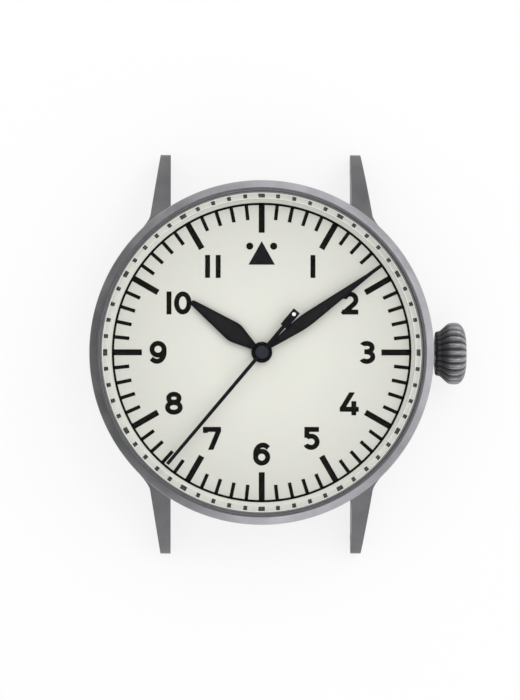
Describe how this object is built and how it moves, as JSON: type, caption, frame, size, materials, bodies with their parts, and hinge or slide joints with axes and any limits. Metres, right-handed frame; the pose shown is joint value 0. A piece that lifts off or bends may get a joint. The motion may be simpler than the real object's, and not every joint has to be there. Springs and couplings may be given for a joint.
{
  "type": "pilot watch",
  "caption": "Round wristwatch head with a matt steel case, cream dial, flat crystal, fluted onion crown, lugs for a strap and a hand-wound movement with centre seconds.",
  "frame": {"origin": "centre of the flat case back, on its outer face", "axes": "+Z out through the dial and the crystal, +Y towards 12 o'clock, +X towards 3 o'clock and the crown"},
  "size_m": [0.0462, 0.0494, 0.0108],
  "materials": {
    "case_steel": "bead blasted, matt",
    "crown_steel": "matt, fluted",
    "crystal": "polished sapphire",
    "seal": "matt",
    "dial": "matt cream lacquer with printed numerals and marks",
    "movement_brass": "rhodium plated, fine grained",
    "wheel_brass": "gilt",
    "work_steel": "polished",
    "screw_steel": "blued",
    "jewel": "polished ruby",
    "hand_lacquer": "black lacquer, satin"
  },
  "bodies": {
    "case": {"case_middle": "case_steel", "lugs": "case_steel", "bezel": "case_steel", "crystal": "crystal", "crystal_gasket": "seal", "case_back": "case_steel", "case_back_gasket": "seal", "dial": "dial", "main_plate": "movement_brass", "barrel_bridge": "movement_brass", "train_bridge": "movement_brass", "balance_cock": "movement_brass", "pallet_bridge": "movement_brass", "bridge_screws": "screw_steel", "casing_clamps": "screw_steel", "casing_screws": "screw_steel", "jewels": "jewel", "click_spring": "work_steel", "hairspring": "work_steel", "crown_tube": "work_steel", "crown_wheel_screw": "screw_steel"},
    "seconds": {"fourth_wheel": "wheel_brass", "second_hand": "hand_lacquer"},
    "third": {"third_wheel": "wheel_brass"},
    "minutes": {"centre_wheel": "wheel_brass", "cannon_pinion": "work_steel", "minute_hand": "hand_lacquer"},
    "barrel": {"barrel_drum": "wheel_brass", "barrel_cover": "wheel_brass", "mainspring": "work_steel"},
    "escape": {"escape_wheel": "work_steel"},
    "pallets": {"pallet_fork": "work_steel", "pallet_stones": "jewel"},
    "balance": {"balance_wheel": "wheel_brass"},
    "minute_work": {"minute_wheel": "wheel_brass"},
    "hours": {"hour_wheel": "wheel_brass", "hour_hand": "hand_lacquer"},
    "setting": {"setting_wheel": "wheel_brass"},
    "winding_pinion": {"winding_pinion": "work_steel"},
    "crown_wheel": {"crown_wheel": "work_steel"},
    "ratchet": {"ratchet_wheel": "work_steel", "barrel_arbor": "work_steel", "ratchet_screw": "screw_steel"},
    "click": {"click": "work_steel"},
    "crown": {"crown": "crown_steel", "winding_stem": "work_steel", "crown_gasket": "seal"},
    "sliding_pinion": {"sliding_pinion": "work_steel"},
    "setting_lever": {"setting_lever": "work_steel"},
    "yoke": {"yoke": "work_steel"}
  },
  "joints": [
    {"name": "seconds_turn", "type": "hinge", "parent": "case", "child": "seconds", "pos_m": [0, 0, 0], "axis": [0, 0, 1], "continuous": true},
    {"name": "third_turn", "type": "hinge", "parent": "case", "child": "third", "pos_m": [-0.00197, -0.00541, 0], "axis": [0, 0, 1], "continuous": true},
    {"name": "minutes_turn", "type": "hinge", "parent": "case", "child": "minutes", "pos_m": [0, 0, 0], "axis": [0, 0, 1], "continuous": true},
    {"name": "barrel_turn", "type": "hinge", "parent": "case", "child": "barrel", "pos_m": [0.0042, 0.00727, 0], "axis": [0, 0, 1], "continuous": true},
    {"name": "escape_turn", "type": "hinge", "parent": "case", "child": "escape", "pos_m": [-0.00577, 0, 0], "axis": [0, 0, 1], "continuous": true},
    {"name": "minute_work_turn", "type": "hinge", "parent": "case", "child": "minute_work", "pos_m": [0.00338, -0.00123, 0], "axis": [0, 0, 1], "continuous": true},
    {"name": "hours_turn", "type": "hinge", "parent": "case", "child": "hours", "pos_m": [0, 0, 0], "axis": [0, 0, 1], "continuous": true},
    {"name": "setting_wheel_turn", "type": "hinge", "parent": "case", "child": "setting", "pos_m": [0.00873, -0.00048, 0], "axis": [0, 0, 1], "continuous": true},
    {"name": "pallets_rock", "type": "hinge", "parent": "case", "child": "pallets", "pos_m": [-0.00756, 0.00255, 0], "axis": [0, 0, 1], "range_deg": [-5, 5]},
    {"name": "balance_swing", "type": "hinge", "parent": "case", "child": "balance", "pos_m": [-0.00997, 0.00599, 0], "axis": [0, 0, 1], "range_deg": [-270, 270], "stiffness_Nm_per_rad": 0.0000002},
    {"name": "click_lift", "type": "hinge", "parent": "case", "child": "click", "pos_m": [-0.00161, 0.01225, 0], "axis": [0, 0, 1], "range_deg": [0, 8], "stiffness_Nm_per_rad": 0.000002},
    {"name": "stem_turn", "type": "hinge", "parent": "case", "child": "winding_pinion", "pos_m": [0.01328, 0, 0.004], "axis": [1, 0, 0], "continuous": true},
    {"name": "crown_wheel_turn", "type": "hinge", "parent": "case", "child": "crown_wheel", "pos_m": [0.00983, 0, 0], "axis": [0, 0, 1], "continuous": true},
    {"name": "ratchet_turn", "type": "hinge", "parent": "case", "child": "ratchet", "pos_m": [0.0042, 0.00727, 0], "axis": [0, 0, 1], "continuous": true},
    {"name": "crown_pull", "type": "slide", "parent": "winding_pinion", "child": "crown", "axis": [1, 0, 0], "range_m": [0, 0.001]},
    {"name": "sliding_pinion_slide", "type": "slide", "parent": "case", "child": "sliding_pinion", "axis": [1, 0, 0], "range_m": [-0.0008, 0]},
    {"name": "setting_lever_swing", "type": "hinge", "parent": "case", "child": "setting_lever", "pos_m": [0.01528, -0.003, 0], "axis": [0, 0, 1], "range_deg": [-25, 5]},
    {"name": "yoke_swing", "type": "hinge", "parent": "case", "child": "yoke", "pos_m": [0.01298, 0.005, 0], "axis": [0, 0, 1], "range_deg": [-15, 5]}
  ],
  "couplings": [
    {"joint": "third_turn", "follows": "seconds_turn", "ratio": -0.13333},
    {"joint": "minutes_turn", "follows": "seconds_turn", "ratio": 0.016667},
    {"joint": "barrel_turn", "follows": "seconds_turn", "ratio": -0.0027778},
    {"joint": "escape_turn", "follows": "seconds_turn", "ratio": -10},
    {"joint": "minute_work_turn", "follows": "seconds_turn", "ratio": -0.0055556},
    {"joint": "hours_turn", "follows": "seconds_turn", "ratio": 0.0013889},
    {"joint": "setting_wheel_turn", "follows": "seconds_turn", "ratio": 0.0055556},
    {"joint": "crown_wheel_turn", "follows": "stem_turn", "ratio": 0.4},
    {"joint": "ratchet_turn", "follows": "stem_turn", "ratio": -0.30769},
    {"joint": "sliding_pinion_slide", "follows": "crown_pull", "ratio": -0.7},
    {"joint": "setting_lever_swing", "follows": "crown_pull", "rad_per_m": -333.33},
    {"joint": "yoke_swing", "follows": "crown_pull", "rad_per_m": -140}
  ]
}
